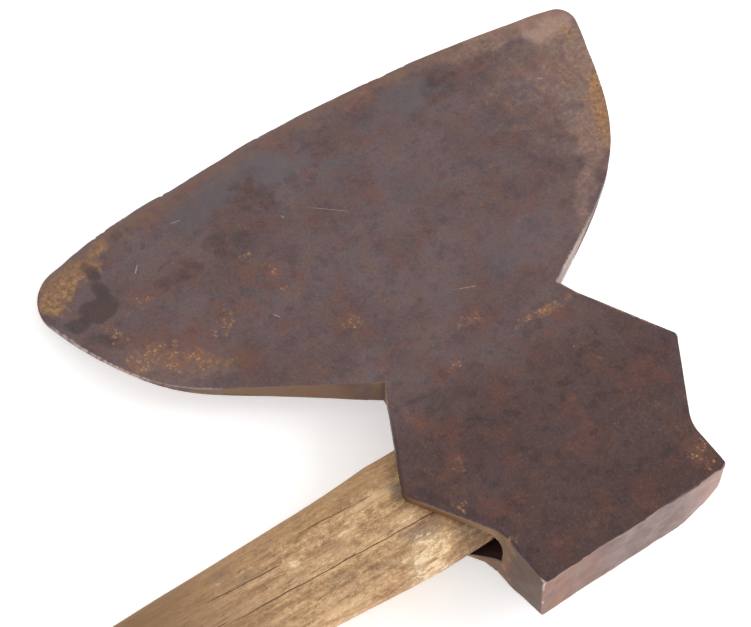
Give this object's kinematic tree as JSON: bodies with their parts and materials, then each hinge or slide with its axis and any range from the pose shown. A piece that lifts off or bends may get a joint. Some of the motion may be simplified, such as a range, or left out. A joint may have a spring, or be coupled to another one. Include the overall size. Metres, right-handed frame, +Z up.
{
  "type": "broad axe",
  "caption": "Broad axe: wide forged blade with one flat side, lugged eye and heavy poll, on a straight wooden haft. For hewing logs flat.",
  "frame": {"origin": "on the head's flat back, straight above the middle of the eye", "axes": "+X along the cutting edge, away from the grip; +Y level, from the poll towards the cutting edge; +Z up, with the axe lying at rest on its bevelled side, which pitches the flat back 11.2 degrees down towards the edge"},
  "size_m": [0.7338, 0.2595, 0.0516],
  "materials": {
    "wrought_iron": "forged, dark purplish-brown patina with rust and fine scratches",
    "bit_steel": "forged and ground steel, aged brown, with a thin bright worn edge",
    "haft_wood": "dry, weathered hardwood with long cracks, worn smooth and grey-stained",
    "wedge_wood": "dark dry hardwood, crushed at the struck end",
    "wedge_iron": "rusty hand-cut iron"
  },
  "bodies": {
    "root": {"eye_body": "wrought_iron", "blade_plate": "wrought_iron", "steel_bit": "bit_steel", "haft": "haft_wood", "wood_wedge": "wedge_wood", "cross_wedges": "wedge_iron"}
  },
  "joints": []
}
